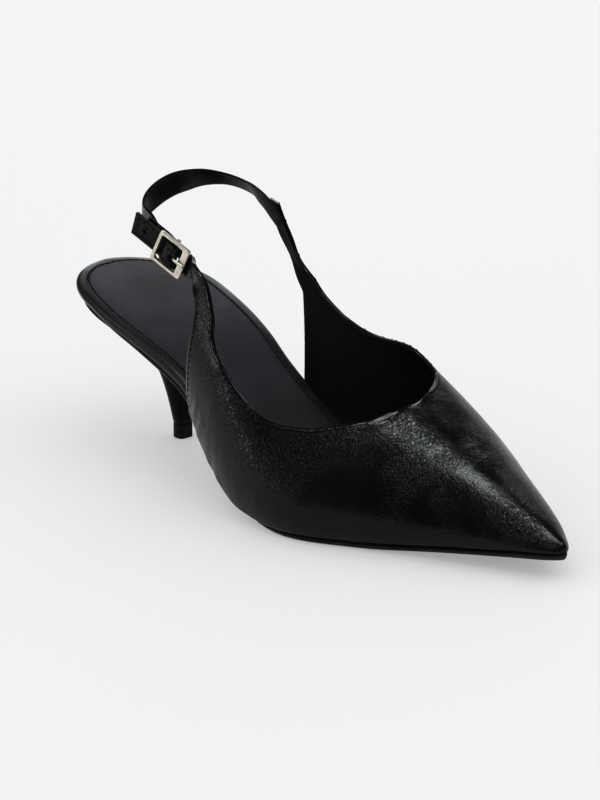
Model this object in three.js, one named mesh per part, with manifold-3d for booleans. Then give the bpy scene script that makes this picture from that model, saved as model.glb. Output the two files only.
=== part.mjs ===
// Pointed slingback pump with a slim kitten heel, a right shoe.
// Millimetres. The toe points to -Y, the outer (lateral) side is -X, and +Z is up.
import * as THREE from 'three';
import { mergeVertices } from 'three/addons/utils/BufferGeometryUtils.js';
import Module from 'manifold-3d';

const wasm = await Module();
wasm.setup();

// Driving sizes
const shoeLength = 252;         // back of the seat to the tip of the toe
const ballWidth = 76;           // sole across the ball
const seatHeight = 54.3;        // floor to the sole's underside at the back of the seat
const toeSpring = 7;            // floor to the sole's underside at the toe
const instepHeight = 84;        // floor to the top of the last above the waist
const upperWall = 1.5;          // leather and lining together
const soleThickness = 2.4;
const seatThickness = 4.5;      // wrapped footbed under the heel
const forefootThickness = 2.4;  // the same footbed inside the upper
const topPieceHeight = 5.6;
const clearance = 0.3;          // left between pieces that touch
const slingWidth = 8.5;
const slingThickness = 1.1;
const strapEndWidth = 8.5;
const buckleLength = 14.8;
const buckleWidth = 12.8;
const buckleThickness = 1.5;
const frontBarWidth = 3.0;
const rearBarWidth = 1.7;
const railWidth = 1.5;
const pinRadius = 0.65;         // centre bar that the sling folds round
const prongRadius = 0.5;
const freeEndLength = 12.8;     // strap end past the buckle
const punchRadius = 0.8;

// Counts of facets
const outlineSteps = 42;
const vampSteps = 15;
const wallSteps = 11;
const strapFibres = 4;

const buckleSlope = 26.5;       // degrees, front end down
const buckleTurn = -13;         // degrees, front end in

// Outline of the footbed and of the last's lower edge, both sides of the middle line.
// Stations are shares of shoeLength and widths are shares of ballWidth.
const outlineRows = [
  { at: 0, lateral: 0, medial: 0 },
  { at: 0.032, lateral: 0.252, medial: 0.25 },
  { at: 0.079, lateral: 0.35, medial: 0.35 },
  { at: 0.127, lateral: 0.388, medial: 0.388 },
  { at: 0.183, lateral: 0.416, medial: 0.37 },
  { at: 0.238, lateral: 0.418, medial: 0.345 },
  { at: 0.298, lateral: 0.414, medial: 0.307 },
  { at: 0.357, lateral: 0.434, medial: 0.282 },
  { at: 0.417, lateral: 0.5, medial: 0.279 },
  { at: 0.476, lateral: 0.558, medial: 0.307 },
  { at: 0.536, lateral: 0.592, medial: 0.359 },
  { at: 0.587, lateral: 0.598, medial: 0.405 },
  { at: 0.635, lateral: 0.575, medial: 0.437 },
  { at: 0.675, lateral: 0.525, medial: 0.447 },
  { at: 0.714, lateral: 0.444, medial: 0.441 },
  { at: 0.774, lateral: 0.342, medial: 0.408 },
  { at: 0.833, lateral: 0.247, medial: 0.342 },
  { at: 0.893, lateral: 0.163, medial: 0.27 },
  { at: 0.944, lateral: 0.091, medial: 0.191 },
  { at: 0.976, lateral: 0.043, medial: 0.125 },
  { at: 1, lateral: -0.047, medial: 0.047 },
];

// Underside of the sole: arch is a share of seatHeight and spring a share of toeSpring.
const treadRows = [
  { at: 0, arch: 1, spring: 0 },
  { at: 0.06, arch: 0.95, spring: 0 },
  { at: 0.119, arch: 0.897, spring: 0 },
  { at: 0.179, arch: 0.836, spring: 0 },
  { at: 0.238, arch: 0.766, spring: 0 },
  { at: 0.298, arch: 0.678, spring: 0 },
  { at: 0.357, arch: 0.554, spring: 0 },
  { at: 0.417, arch: 0.39, spring: 0 },
  { at: 0.476, arch: 0.217, spring: 0 },
  { at: 0.536, arch: 0.077, spring: 0 },
  { at: 0.587, arch: 0.011, spring: 0 },
  { at: 0.619, arch: 0, spring: 0 },
  { at: 0.734, arch: 0, spring: 0 },
  { at: 0.794, arch: 0, spring: 0.22 },
  { at: 0.853, arch: 0, spring: 0.48 },
  { at: 0.913, arch: 0, spring: 0.74 },
  { at: 0.972, arch: 0, spring: 0.95 },
  { at: 1, arch: 0, spring: 1 },
];

// Sections of the last. Each side runs from the lower edge out over a flare point and a
// shoulder point to the ridge. Heights are shares of instepHeight, the rest of ballWidth.
const lastRows = [
  { at: 0.365, ridge: 1.43, crest: 0, flareOut: 0.55, shoulderOut: 0.45, flareIn: 0.4, shoulderIn: 0.52 },
  { at: 0.437, ridge: 1.19, crest: 0, flareOut: 0.6, shoulderOut: 0.44, flareIn: 0.42, shoulderIn: 0.5 },
  { at: 0.496, ridge: 1.01, crest: -0.02, flareOut: 0.66, shoulderOut: 0.43, flareIn: 0.47, shoulderIn: 0.5 },
  { at: 0.556, ridge: 0.845, crest: -0.03, flareOut: 0.7, shoulderOut: 0.41, flareIn: 0.53, shoulderIn: 0.53 },
  { at: 0.615, ridge: 0.72, crest: -0.04, flareOut: 0.71, shoulderOut: 0.38, flareIn: 0.58, shoulderIn: 0.55 },
  { at: 0.667, ridge: 0.62, crest: -0.05, flareOut: 0.68, shoulderOut: 0.33, flareIn: 0.61, shoulderIn: 0.54 },
  { at: 0.714, ridge: 0.546, crest: -0.05, flareOut: 0.6, shoulderOut: 0.27, flareIn: 0.62, shoulderIn: 0.5 },
  { at: 0.774, ridge: 0.462, crest: -0.045, flareOut: 0.48, shoulderOut: 0.2, flareIn: 0.58, shoulderIn: 0.41 },
  { at: 0.833, ridge: 0.382, crest: -0.04, flareOut: 0.35, shoulderOut: 0.13, flareIn: 0.48, shoulderIn: 0.31 },
  { at: 0.893, ridge: 0.303, crest: -0.04, flareOut: 0.235, shoulderOut: 0.07, flareIn: 0.37, shoulderIn: 0.22 },
  { at: 0.944, ridge: 0.234, crest: -0.04, flareOut: 0.135, shoulderOut: 0.02, flareIn: 0.26, shoulderIn: 0.14 },
  { at: 0.976, ridge: 0.188, crest: -0.045, flareOut: 0.07, shoulderOut: -0.01, flareIn: 0.165, shoulderIn: 0.09 },
  { at: 1, ridge: 0.131, crest: -0.047, flareOut: -0.047, shoulderOut: -0.047, flareIn: 0.047, shoulderIn: 0.047 },
];
const flareLift = 0.33;         // height of the flare point between lower edge and ridge
const shoulderLift = 0.97;

// Top edge behind the throat's point: foot is the station at the lower edge and top the
// station at the top edge, shares of shoeLength; height is a share of instepHeight.
// The last row is the wing's back edge, and the strap leaves the wing before it.
const throatAt = 0.710;
const lateralTopRows = [
  { foot: 0.695, top: 0.6988, height: 0.509 },
  { foot: 0.665, top: 0.6707, height: 0.486 },
  { foot: 0.632, top: 0.6391, height: 0.465 },
  { foot: 0.594, top: 0.6007, height: 0.462 },
  { foot: 0.558, top: 0.563, height: 0.48 },
  { foot: 0.534, top: 0.54, height: 0.51 },
  { foot: 0.51, top: 0.5118, height: 0.553 },
  { foot: 0.48, top: 0.4772, height: 0.628 },
  { foot: 0.455, top: 0.4519, height: 0.693 },
  { foot: 0.439, top: 0.4417, height: 0.745 },
  { foot: 0.379, top: 0.399, height: 0.77 },
];
const medialTopRows = [
  { foot: 0.694, top: 0.6985, height: 0.564 },
  { foot: 0.668, top: 0.678, height: 0.572 },
  { foot: 0.64, top: 0.648, height: 0.583 },
  { foot: 0.618, top: 0.626, height: 0.596 },
  { foot: 0.602, top: 0.608, height: 0.622 },
  { foot: 0.582, top: 0.584, height: 0.638 },
  { foot: 0.552, top: 0.55, height: 0.632 },
  { foot: 0.52, top: 0.52, height: 0.624 },
  { foot: 0.486, top: 0.482, height: 0.627 },
  { foot: 0.46, top: 0.434, height: 0.673 },
  { foot: 0.436, top: 0.3895, height: 0.753 },
  { foot: 0.3835, top: 0.352, height: 0.735 },
];

// Middle lines of the two wing straps above the wings, and of the sling round the heel.
// along is a share of shoeLength, side of ballWidth and up of instepHeight.
// The last row of the outer strap is the buckle's middle.
// lean turns the sling's top edge in towards the ankle, in degrees.
const lateralStrapRows = [
  { along: 0.4178, side: 0.464, up: 0.823 },
  { along: 0.396, side: 0.438, up: 0.9375 },
  { along: 0.375, side: 0.412, up: 0.967 },
  { along: 0.3131, side: 0.3816, up: 1.006 },
];
const medialStrapRows = [
  { along: 0.338, side: -0.381, up: 0.843 },
  { along: 0.312, side: -0.387, up: 0.934 },
  { along: 0.2955, side: -0.38, up: 1.02 },
  { along: 0.282, side: -0.37, up: 1.117 },
];
const slingRows = [
  { along: 0.242, side: 0.319, up: 1.095, lean: -8 },
  { along: 0.203, side: 0.262, up: 1.112, lean: -2 },
  { along: 0.182, side: 0.125, up: 1.156, lean: -17 },
  { along: 0.172, side: -0.01, up: 1.18, lean: -23 },
  { along: 0.167, side: -0.123, up: 1.18, lean: 3 },
  { along: 0.172, side: -0.226, up: 1.18, lean: 30 },
  { along: 0.195, side: -0.31, up: 1.171, lean: 45 },
  { along: 0.228, side: -0.346, up: 1.149, lean: 39 },
  { along: 0.252, side: -0.33, up: 1.136, lean: 24 },
  { along: 0.278, side: -0.327, up: 1.102, lean: 21 },
  { along: 0.302, side: -0.338, up: 1.031, lean: 27 },
];

// Heel block: back and front edges of each section, along as a share of shoeLength, height
// as a share of seatHeight, and full width as a share of ballWidth. The first section takes
// its height from the sole and the last one, shared with the top piece, from topPieceHeight.
const heelRows = [
  { back: 0.006, backUp: 0.95, front: 0.214, frontUp: 0.79, width: 0.715 },
  { back: 0.011, backUp: 0.925, front: 0.212, frontUp: 0.755, width: 0.64 },
  { back: 0.026, backUp: 0.885, front: 0.205, frontUp: 0.715, width: 0.52 },
  { back: 0.051, backUp: 0.825, front: 0.198, frontUp: 0.665, width: 0.39 },
  { back: 0.081, backUp: 0.755, front: 0.192, frontUp: 0.615, width: 0.28 },
  { back: 0.112, backUp: 0.665, front: 0.189, frontUp: 0.55, width: 0.2 },
  { back: 0.137, backUp: 0.555, front: 0.19, frontUp: 0.47, width: 0.15 },
  { back: 0.156, backUp: 0.42, front: 0.194, frontUp: 0.37, width: 0.122 },
  { back: 0.17, backUp: 0.255, front: 0.199, frontUp: 0.24, width: 0.104 },
  { back: 0.179, backUp: 0, front: 0.2045, frontUp: 0, width: 0.092 },
];

// A point or direction of the shoe in the drawing's axes
const at = (along, side, up) => new THREE.Vector3(-side, -along, up);

// Smooth value of a table's column, without overshoot between rows
function column(rows, key, position, by = 'at') {
  const last = rows.length - 1;
  if (position <= rows[0][by]) return rows[0][key];
  if (position >= rows[last][by]) return rows[last][key];
  let i = 0;
  while (rows[i + 1][by] < position) i += 1;
  const slope = (k) => (rows[k + 1][key] - rows[k][key]) / (rows[k + 1][by] - rows[k][by]);
  const tangent = (k) => {
    if (k === 0) return slope(0);
    if (k === last) return slope(last - 1);
    const before = slope(k - 1);
    const after = slope(k);
    return before * after <= 0 ? 0 : 2 * before * after / (before + after);
  };
  const span = rows[i + 1][by] - rows[i][by];
  const t = (position - rows[i][by]) / span;
  const rise = t * t * (3 - 2 * t);
  const keep = t * (1 - t) * (1 - t) * span * tangent(i);
  const bend = t * t * (1 - t) * span * tangent(i + 1);
  return rows[i][key] + (rows[i + 1][key] - rows[i][key]) * rise + keep - bend;
}

// Stations are spread by this angle, so that both rounded ends come out round
const stationOf = (share) => (1 - Math.cos(Math.PI * share)) / 2;
const shareOf = (station) => Math.acos(1 - 2 * station) / Math.PI;
const byShare = (rows) => rows.map((row) => ({ ...row, share: shareOf(row.at) }));
const outline = byShare(outlineRows);
const last = byShare(lastRows);
const atStation = (rows, key, station) => column(rows, key, shareOf(station), 'share');

const treadHeight = (station) =>
  column(treadRows, 'arch', station) * seatHeight + column(treadRows, 'spring', station) * toeSpring;
const footbedBottom = (station) => treadHeight(station) + soleThickness + clearance;
const smoothStep = (from, to, value) => {
  const t = Math.min(Math.max((value - from) / (to - from), 0), 1);
  return t * t * (3 - 2 * t);
};

// A closed surface from points and triangles, turned so that its faces point out
function solid(points, triangles) {
  let volume = 0;
  for (const [a, b, c] of triangles) {
    volume += points[a].dot(new THREE.Vector3().crossVectors(points[b], points[c])) / 6;
  }
  const faces = volume < 0 ? triangles.map(([a, b, c]) => [a, c, b]) : triangles;
  const geometry = new THREE.BufferGeometry();
  geometry.setAttribute('position', new THREE.Float32BufferAttribute(points.flatMap((p) => p.toArray()), 3));
  geometry.setIndex(faces.flat());
  return geometry;
}

// Fills a loop whose first point and middle point are its two ends with cross strips
function crossStrips(first, count) {
  const triangles = [];
  for (let i = 0; i < count / 2; i += 1) {
    const [a, b, c, d] = [i, i + 1, count - i - 1, (count - i) % count].map((k) => first + k);
    if (b !== c) triangles.push([a, b, c]);
    if (a !== d) triangles.push([a, c, d]);
  }
  return triangles;
}

// Joins loops of equally many points into a solid closed at both ends
function loft(loops) {
  const count = loops[0].length;
  const triangles = crossStrips(0, count).map(([a, b, c]) => [a, c, b]);
  for (let level = 0; level + 1 < loops.length; level += 1) {
    for (let i = 0; i < count; i += 1) {
      const a = level * count + i;
      const b = level * count + (i + 1) % count;
      triangles.push([a, b, b + count], [a, b + count, a + count]);
    }
  }
  triangles.push(...crossStrips((loops.length - 1) * count, count));
  return solid(loops.flat(), triangles);
}

// Plan loop that follows the outline, pulled in at its sides and shortened at its ends
const tipShare = 0.35;
function planLoop({ inset, heelGap, toeGap, height }) {
  const points = [];
  for (let i = 0; i < 2 * outlineSteps; i += 1) {
    const share = i <= outlineSteps ? i / outlineSteps : 2 - i / outlineSteps;
    const station = stationOf(share);
    const lateral = atStation(outline, 'lateral', station) * ballWidth;
    const medial = atStation(outline, 'medial', station) * ballWidth;
    const middle = (lateral - medial) / 2;
    const half = (lateral + medial) / 2;
    const pull = half ? Math.max(1 - inset(station) / half, tipShare) : 0;
    const along = heelGap + station * (shoeLength - heelGap - toeGap);
    const side = middle + (i <= outlineSteps ? 1 : -1) * half * pull;
    points.push(at(along, side, height(along / shoeLength)));
  }
  return points;
}

// The wings come down over the edge of the outsole, which is narrower there
const seatInset = 1.6;
const forefootInset = 0.5;
const soleCover = (station) => smoothStep(0.36, 0.41, station) * (1 - smoothStep(0.52, 0.575, station));
const waistInset = upperWall + 2 * clearance;
const soleInset = (station) => seatInset + (waistInset - seatInset) * smoothStep(0.28, 0.36, station)
  - (waistInset - forefootInset) * smoothStep(0.575, 0.64, station);

// Footbed: full width behind the wings, and inside the upper's wall in front of them
const wingsFrom = 0.34;
const insideUpper = upperWall + 2 * clearance;
const footbedInset = (station) => insideUpper * smoothStep(wingsFrom - 0.04, wingsFrom + 0.03, station);
const footbedThickness = (station) =>
  seatThickness + (forefootThickness - seatThickness) * smoothStep(0.38, 0.56, station);
const footbedTop = (station) => footbedBottom(station) + footbedThickness(station);
const footbedRim = [
  { inset: 1.9, drop: 0 },
  { inset: 0.6, drop: 0.12 },
  { inset: 0, drop: 0.40 },
  { inset: 0.3, drop: 0.74 },
  { inset: 1.4, drop: 1 },
];
const footbedToeGap = insideUpper + 3.2;
const footbed = loft(footbedRim.map((rim) => planLoop({
  inset: (station) => footbedInset(station) + rim.inset,
  heelGap: rim.inset,
  toeGap: footbedToeGap + rim.inset,
  height: (station) => footbedTop(station) - rim.drop * footbedThickness(station),
})));

// Outsole: a thin bent board, a little inside the footbed at the waist and seat
const soleEdge = [
  { inset: 0.3, drop: 0 },
  { inset: 0, drop: 0.3 },
  { inset: 0.2, drop: 0.8 },
  { inset: 0.8, drop: 1 },
];
const outsole = loft(soleEdge.map((edge) => planLoop({
  inset: (station) => soleInset(station) + edge.inset,
  heelGap: seatInset + edge.inset,
  toeGap: 0.7 + edge.inset,
  height: (station) => treadHeight(station) + soleThickness * (1 - edge.drop),
})));

// Heel block and top piece. A section is round at the back and flat at the breast.
const heelSides = 28;
const breastShare = 1.12;       // how soon the section reaches its flat breast
const sideFullness = 0.8;       // 1 is an ellipse, less is fuller
function heelLoop({ back, front, width }, upAt) {
  const loop = [];
  for (let i = 0; i < heelSides; i += 1) {
    const angle = 2 * Math.PI * i / heelSides;
    const reach = (1 - Math.cos(angle)) / 2;
    const flat = Math.min(reach * breastShare, 1);
    const along = (back + (front - back) * flat) * shoeLength;
    const round = Math.sign(Math.sin(angle)) * Math.abs(Math.sin(angle)) ** sideFullness;
    loop.push(at(along, round * width * ballWidth / 2, upAt(along / shoeLength, flat)));
  }
  return loop;
}
const tipLoop = (height) => heelLoop(heelRows[heelRows.length - 1], () => height);
const heel = loft([
  heelLoop(heelRows[0], (station) => treadHeight(station) - clearance),
  ...heelRows.slice(1, -1).map((row) => heelLoop(
    row, (station, flat) => (row.backUp + (row.frontUp - row.backUp) * flat) * seatHeight)),
  tipLoop(topPieceHeight + clearance),
]);
const topPiece = loft([tipLoop(topPieceHeight), tipLoop(0)]);

// Upper: one side of the last's section at a station, from the lower edge (0) to the ridge (1)
function lastPoint(station, lateral, share) {
  const [flare, shoulder] = lateral ? ['flareOut', 'shoulderOut'] : ['flareIn', 'shoulderIn'];
  const sign = lateral ? 1 : -1;
  const foot = footbedBottom(station) - soleCover(station) * (soleThickness - clearance);
  const rise = atStation(last, 'ridge', station) * instepHeight - foot;
  const sides = [
    sign * (atStation(outline, lateral ? 'lateral' : 'medial', station)),
    sign * atStation(last, flare, station),
    sign * atStation(last, shoulder, station),
    atStation(last, 'crest', station),
  ];
  const lifts = [0, flareLift, shoulderLift, 1];
  const weights = [(1 - share) ** 3, 3 * share * (1 - share) ** 2, 3 * share ** 2 * (1 - share), share ** 3];
  const side = weights.reduce((sum, weight, k) => sum + weight * sides[k], 0) * ballWidth;
  const lift = weights.reduce((sum, weight, k) => sum + weight * lifts[k], 0);
  return at(station * shoeLength, side, foot + rise * lift);
}

// Share of the section at which it reaches a height
function shareAtHeight(station, lateral, height) {
  let [low, high] = [0, 1];
  for (let i = 0; i < 30; i += 1) {
    const middle = (low + high) / 2;
    if (lastPoint(station, lateral, middle).z < height) low = middle;
    else high = middle;
  }
  return high;
}

// One line of the wall from the top edge down to the lower edge
function wallLine({ foot, top, height }, lateral) {
  const topShare = height === undefined ? 1 : shareAtHeight(top, lateral, height * instepHeight);
  return Array.from({ length: wallSteps + 1 }, (_, k) => {
    const fall = k / wallSteps;
    return lastPoint(top + (foot - top) * fall, lateral, topShare * (1 - fall));
  });
}

// Places and directions of the buckle: x runs to its front bar, y out of its face, z across
const turn = THREE.MathUtils.degToRad(buckleTurn);
const slope = THREE.MathUtils.degToRad(buckleSlope);
const buckleX = at(Math.cos(slope) * Math.cos(turn), Math.cos(slope) * Math.sin(turn), -Math.sin(slope));
const buckleZ = at(Math.sin(slope) * Math.cos(turn), Math.sin(slope) * Math.sin(turn), Math.cos(slope));
const buckleY = new THREE.Vector3().crossVectors(buckleX, buckleZ);
if (buckleY.x > 0) buckleY.negate();
const rowPoint = ({ along, side, up }) => at(along * shoeLength, side * ballWidth, up * instepHeight);
const buckleMiddle = rowPoint(lateralStrapRows[lateralStrapRows.length - 1]);
const inBuckle = (x, y, z = 0) => buckleMiddle.clone()
  .addScaledVector(buckleX, x).addScaledVector(buckleY, y).addScaledVector(buckleZ, z);

// The strap goes under both end bars and over the pin, which is set back in the frame
const pinDepth = -1.6;
const wrapCentre = pinRadius + clearance + slingThickness / 2;
const underBars = -buckleThickness / 2 - clearance - upperWall / 2;
const overPin = pinDepth + wrapCentre + slingThickness / 2 + clearance + upperWall / 2;
const frontWave = buckleLength / 2 - frontBarWidth + 0.5;
const rearWave = buckleLength / 2 - rearBarWidth + 0.5;
const waveCrown = 0.7;          // level stretch over the pin, to each side
const strapWave = (x) => {
  const reach = (x > 0 ? frontWave : rearWave) - waveCrown;
  const swing = (1 + Math.cos(Math.PI * Math.min(Math.max(Math.abs(x) - waveCrown, 0) / reach, 1))) / 2;
  return underBars + (overPin - underBars) * swing;
};
const waveSlope = (x) => (strapWave(x + 0.1) - strapWave(x - 0.1)) / 0.2;

// Cross lines of a strap: middle point and half its width as a vector, top edge first
const crossLine = (middle, across, width, count) => Array.from({ length: count + 1 }, (_, k) =>
  middle.clone().addScaledVector(across, width * (0.5 - k / count)));
const smoothPath = (points, steps) => new THREE.CatmullRomCurve3(points, false, 'centripetal').getSpacedPoints(steps);

// Surface of the upper, as a net of points whose faces share them
const net = { points: [], triangles: [] };
const addPoint = (point) => net.points.push(point) - 1;
function addStrip(lineA, lineB, flip) {
  const span = (i, j) => net.points[i].distanceTo(net.points[j]);
  for (let k = 0; k + 1 < lineA.length; k += 1) {
    const quad = span(lineA[k], lineB[k + 1]) < span(lineA[k + 1], lineB[k])
      ? [[lineA[k], lineA[k + 1], lineB[k + 1]], [lineA[k], lineB[k + 1], lineB[k]]]
      : [[lineA[k], lineA[k + 1], lineB[k]], [lineA[k + 1], lineB[k + 1], lineB[k]]];
    for (const [a, b, c] of quad) {
      if (a !== b && b !== c && a !== c) net.triangles.push(flip ? [a, c, b] : [a, b, c]);
    }
  }
}

const vampStations = Array.from({ length: vampSteps + 1 }, (_, i) => {
  const share = 1 + (shareOf(throatAt) - 1) * i / vampSteps;
  return stationOf(share);
});
const toeLine = wallLine({ foot: 1, top: 1 }, true).map(addPoint);
const ridgeLine = [toeLine[0], ...vampStations.slice(1).map((station) => addPoint(lastPoint(station, true, 1)))];

function addWing(lateral, topRows, strapLines) {
  const flip = lateral;
  let previous = toeLine;
  vampStations.slice(1).forEach((station, i) => {
    const line = wallLine({ foot: station, top: station }, lateral).slice(1).map(addPoint);
    const next = [ridgeLine[i + 1], ...line];
    addStrip(previous, next, flip);
    previous = next;
  });
  for (const row of topRows.slice(0, -1)) {
    const next = wallLine(row, lateral).map(addPoint);
    addStrip(previous, next, flip);
    previous = next;
  }
  const base = [previous[0]];
  const [front, back] = topRows.slice(-2);
  for (let k = 1; k <= strapFibres; k += 1) {
    const share = k / strapFibres;
    const row = {};
    for (const key of ['foot', 'top', 'height']) row[key] = front[key] + (back[key] - front[key]) * share;
    const next = wallLine(row, lateral).map(addPoint);
    addStrip(previous, next, flip);
    previous = next;
    base.push(next[0]);
  }
  let edge = base;
  for (const line of strapLines(base.map((index) => net.points[index]))) {
    const next = line.map(addPoint);
    addStrip(edge, next, flip);
    edge = next;
  }
}

// Strap above a wing: it starts as wide as the wing's top and narrows to its own width.
// Its front edge turns out most at the share twistAt, by twist of its width.
const strapLineCount = (rows) => 2 * rows + 4;
const twistReach = 0.28;
function strapAbove(base, middles, { lastAcross, twistAt, twist }) {
  const baseMiddle = base[0].clone().add(base[base.length - 1]).multiplyScalar(0.5);
  const baseAcross = base[0].clone().sub(base[base.length - 1]);
  const baseWidth = baseAcross.length();
  baseAcross.normalize();
  const path = smoothPath([baseMiddle, ...middles], strapLineCount(middles.length)).slice(1);
  return path.map((middle, i) => {
    const share = (i + 1) / path.length;
    const turned = twist * (1 - smoothStep(0, twistReach, Math.abs(share - twistAt)));
    const across = baseAcross.clone().lerp(lastAcross, smoothStep(0, 1, share)).add(at(0, turned, 0)).normalize();
    const width = baseWidth + (strapEndWidth - baseWidth) * smoothStep(0, 0.35, share);
    return crossLine(middle, across, width, strapFibres);
  });
}

// The outer wing's strap goes through the buckle and ends in a free, slightly slanted tip
const strapSteps = 26;
const strapEntry = buckleLength / 2 + 0.1;
const strapTip = -(buckleLength / 2 + freeEndLength);
const tipSlant = 1.4;
function lateralStrap(base) {
  const middles = [
    ...lateralStrapRows.slice(0, -1).map(rowPoint),
    inBuckle(strapEntry, underBars + upperWall / 2),
  ];
  const lines = strapAbove(base, middles, { lastAcross: buckleZ, twistAt: 0.7, twist: 0.45 });
  for (let i = 1; i <= strapSteps; i += 1) {
    const x = strapEntry + (strapTip - strapEntry) * i / strapSteps;
    const line = crossLine(inBuckle(x, strapWave(x) + upperWall / 2), buckleZ, strapEndWidth, strapFibres);
    if (i === strapSteps) {
      line.forEach((point, k) => point.addScaledVector(buckleX, tipSlant * (k / strapFibres - 0.5)));
    }
    lines.push(line);
  }
  return lines;
}
const jointTurn = THREE.MathUtils.degToRad(18);   // the inner strap's front edge turns in by this much
const jointAcross = at(Math.cos(jointTurn), Math.sin(jointTurn), 0);
const medialStrap = (base) => strapAbove(
  base, medialStrapRows.map(rowPoint), { lastAcross: jointAcross, twistAt: 0.4, twist: 0.35 });
addWing(true, lateralTopRows, lateralStrap);
addWing(false, medialTopRows, medialStrap);

// Gives a net of points its wall: the second skin lies inside along the normals
function thicken({ points, triangles }, wall) {
  const normals = points.map(() => new THREE.Vector3());
  for (const [a, b, c] of triangles) {
    const face = new THREE.Vector3().crossVectors(
      points[b].clone().sub(points[a]), points[c].clone().sub(points[a]));
    for (const corner of [a, b, c]) normals[corner].add(face);
  }
  const inner = points.map((point, i) => point.clone().addScaledVector(normals[i].normalize(), -wall));
  const count = points.length;
  const faces = [...triangles, ...triangles.map(([a, b, c]) => [a + count, c + count, b + count])];
  const edges = new Set(triangles.flatMap(([a, b, c]) => [`${a} ${b}`, `${b} ${c}`, `${c} ${a}`]));
  for (const edge of edges) {
    const [a, b] = edge.split(' ').map(Number);
    if (!edges.has(`${b} ${a}`)) faces.push([b, a, a + count], [b, a + count, b + count]);
  }
  return solid([...points, ...inner], faces);
}

// Booleans
function toManifold(geometry) {
  const bare = geometry.clone();
  bare.deleteAttribute('normal');
  bare.deleteAttribute('uv');
  const merged = mergeVertices(bare, 1e-4);
  return new wasm.Manifold(new wasm.Mesh({
    numProp: 3,
    vertProperties: new Float32Array(merged.attributes.position.array),
    triVerts: new Uint32Array(merged.index.array),
  }));
}
function fromManifold(body) {
  const mesh = body.getMesh();
  const geometry = new THREE.BufferGeometry();
  geometry.setAttribute('position', new THREE.BufferAttribute(mesh.vertProperties.slice(), 3));
  geometry.setIndex(new THREE.BufferAttribute(mesh.triVerts.slice(), 1));
  return geometry;
}
const cut = (geometry, tools) => fromManifold(tools.reduce(
  (body, tool) => body.subtract(toManifold(tool)), toManifold(geometry)));
const join = (parts) => fromManifold(parts.slice(1).reduce(
  (body, part) => body.add(toManifold(part)), toManifold(parts[0])));
const buckleMatrix = new THREE.Matrix4().makeBasis(buckleX, buckleY, new THREE.Vector3()
  .crossVectors(buckleX, buckleY)).setPosition(buckleMiddle);

// Punch through the strap at a place along the buckle's long line
const punchDepth = 6;
const punchSides = 10;
function punch(x, radius) {
  const tool = new THREE.CylinderGeometry(radius, radius, punchDepth, punchSides);
  tool.translate(x, strapWave(x), 0);
  return tool.applyMatrix4(buckleMatrix);
}
const prongHoleAt = 2.0;
const prongHoleRadius = prongRadius + 4 * clearance;
const freeHoleAt = strapTip + 0.45 * freeEndLength;
const upper = cut(thicken(net, upperWall), [punch(prongHoleAt, prongHoleRadius), punch(freeHoleAt, punchRadius)]);

// Sling: from its folded end round the pin, along behind the free end, round the heel and
// up to the joint on the inner wing's strap
const foldLength = 17;
const layerStep = upperWall / 2 + clearance + slingThickness / 2;
const mainLayer = (x) => strapWave(x) - layerStep * Math.hypot(1, waveSlope(x));
const foldLayer = (x) => {
  const settle = smoothStep(0, rearWave, -x);
  const settled = mainLayer(-rearWave) - slingThickness - clearance;
  return pinDepth - wrapCentre + (settled - pinDepth + wrapCentre) * settle;
};
const layerStations = [0.1, 0.2, 0.3, 0.41, 0.54, 0.71];   // shares of buckleLength behind the pin
const slingStart = 7;
const slingSteps = 34;
const turnSteps = 6;            // round the pin
function slingPath() {
  const path = [];
  for (let i = 0; i < slingStart; i += 1) {
    const x = -foldLength * (1 - i / slingStart);
    path.push(inBuckle(x, foldLayer(x)));
  }
  for (let i = 0; i <= turnSteps; i += 1) {
    const angle = -Math.PI / 2 + Math.PI * i / turnSteps;
    path.push(inBuckle(wrapCentre * Math.cos(angle), pinDepth + wrapCentre * Math.sin(angle)));
  }
  for (const share of layerStations) {
    const x = -share * buckleLength;
    path.push(inBuckle(x, mainLayer(x)));
  }
  const fold = path.map((middle) => ({ middle, lean: 0, turned: 0 }));
  const curve = new THREE.CatmullRomCurve3([path[path.length - 1], ...slingRows.map(rowPoint)], false, 'centripetal');
  const leans = slingRows.map((row, i) => ({ ...row, at: (i + 1) / slingRows.length }));
  const round = Array.from({ length: slingSteps }, (_, i) => {
    const share = (i + 1) / slingSteps;
    return { middle: curve.getPoint(share), lean: column(leans, 'lean', share), turned: smoothStep(0, 0.25, share) };
  });
  return [...fold, ...round];
}
function slingLoops() {
  const path = slingPath();
  return path.map(({ middle, lean, turned }, i) => {
    const ahead = path[Math.min(i + 1, path.length - 1)].middle;
    const behind = path[Math.max(i - 1, 0)].middle;
    const along = ahead.clone().sub(behind).normalize();
    const upright = at(0, 0, 1);
    upright.addScaledVector(along, -upright.dot(along)).normalize();
    upright.applyAxisAngle(along, THREE.MathUtils.degToRad(lean));
    const across = buckleZ.clone().lerp(upright, turned);
    across.addScaledVector(along, -across.dot(along)).normalize();
    const face = new THREE.Vector3().crossVectors(along, across);
    const [half, thick] = [slingWidth / 2, slingThickness / 2];
    const corner = thick * 0.6;
    const section = [
      [-half, 0], [-half + corner, thick], [0, thick], [half - corner, thick],
      [half, 0], [half - corner, -thick], [0, -thick], [-half + corner, -thick],
    ];
    return section.map(([wide, deep]) =>
      middle.clone().addScaledVector(across, wide).addScaledVector(face, deep));
  });
}
// Slot in the fold for the prong's eye
const slotLength = 2 * wrapCentre + 4;
const slotDepth = 2 * wrapCentre + 3;
const slotTool = new THREE.BoxGeometry(slotLength, slotDepth, 2 * (prongRadius + clearance))
  .translate(wrapCentre, pinDepth, 0).applyMatrix4(buckleMatrix);
const sling = cut(loft(slingLoops()), [slotTool]);

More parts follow.
